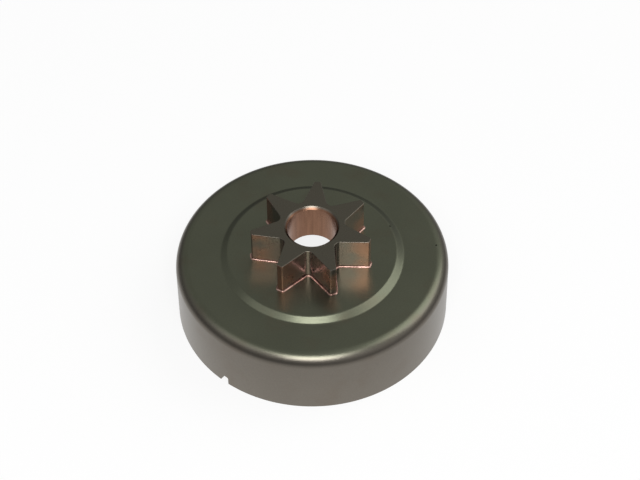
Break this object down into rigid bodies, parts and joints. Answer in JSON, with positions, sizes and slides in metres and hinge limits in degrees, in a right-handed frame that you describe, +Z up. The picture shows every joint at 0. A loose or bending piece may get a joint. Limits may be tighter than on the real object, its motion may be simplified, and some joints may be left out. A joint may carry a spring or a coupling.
{
  "type": "chainsaw clutch drum",
  "caption": "Pressed steel clutch drum with a spur sprocket brazed on its closed end, a through bore for a needle cage and a small notch in the open rim.",
  "frame": {"origin": "centre of the open rim, in the plane that the drum rests on", "axes": "+Z runs up the bore, from the open rim to the top of the sprocket; the picture looks along +Y from the front, with +X to its right"},
  "size_m": [0.0724, 0.0724, 0.03],
  "materials": {
    "cup_steel": "heat-treated pressed steel, dark grey-olive, fine grain, semi-gloss",
    "sprocket_steel": "machined steel with a brown copper haze on flanks and bore",
    "braze_copper": "smooth copper braze metal, dulled"
  },
  "bodies": {
    "root": {"drum_cup": "cup_steel", "spur_sprocket": "sprocket_steel", "braze_fillet": "braze_copper"}
  },
  "joints": []
}
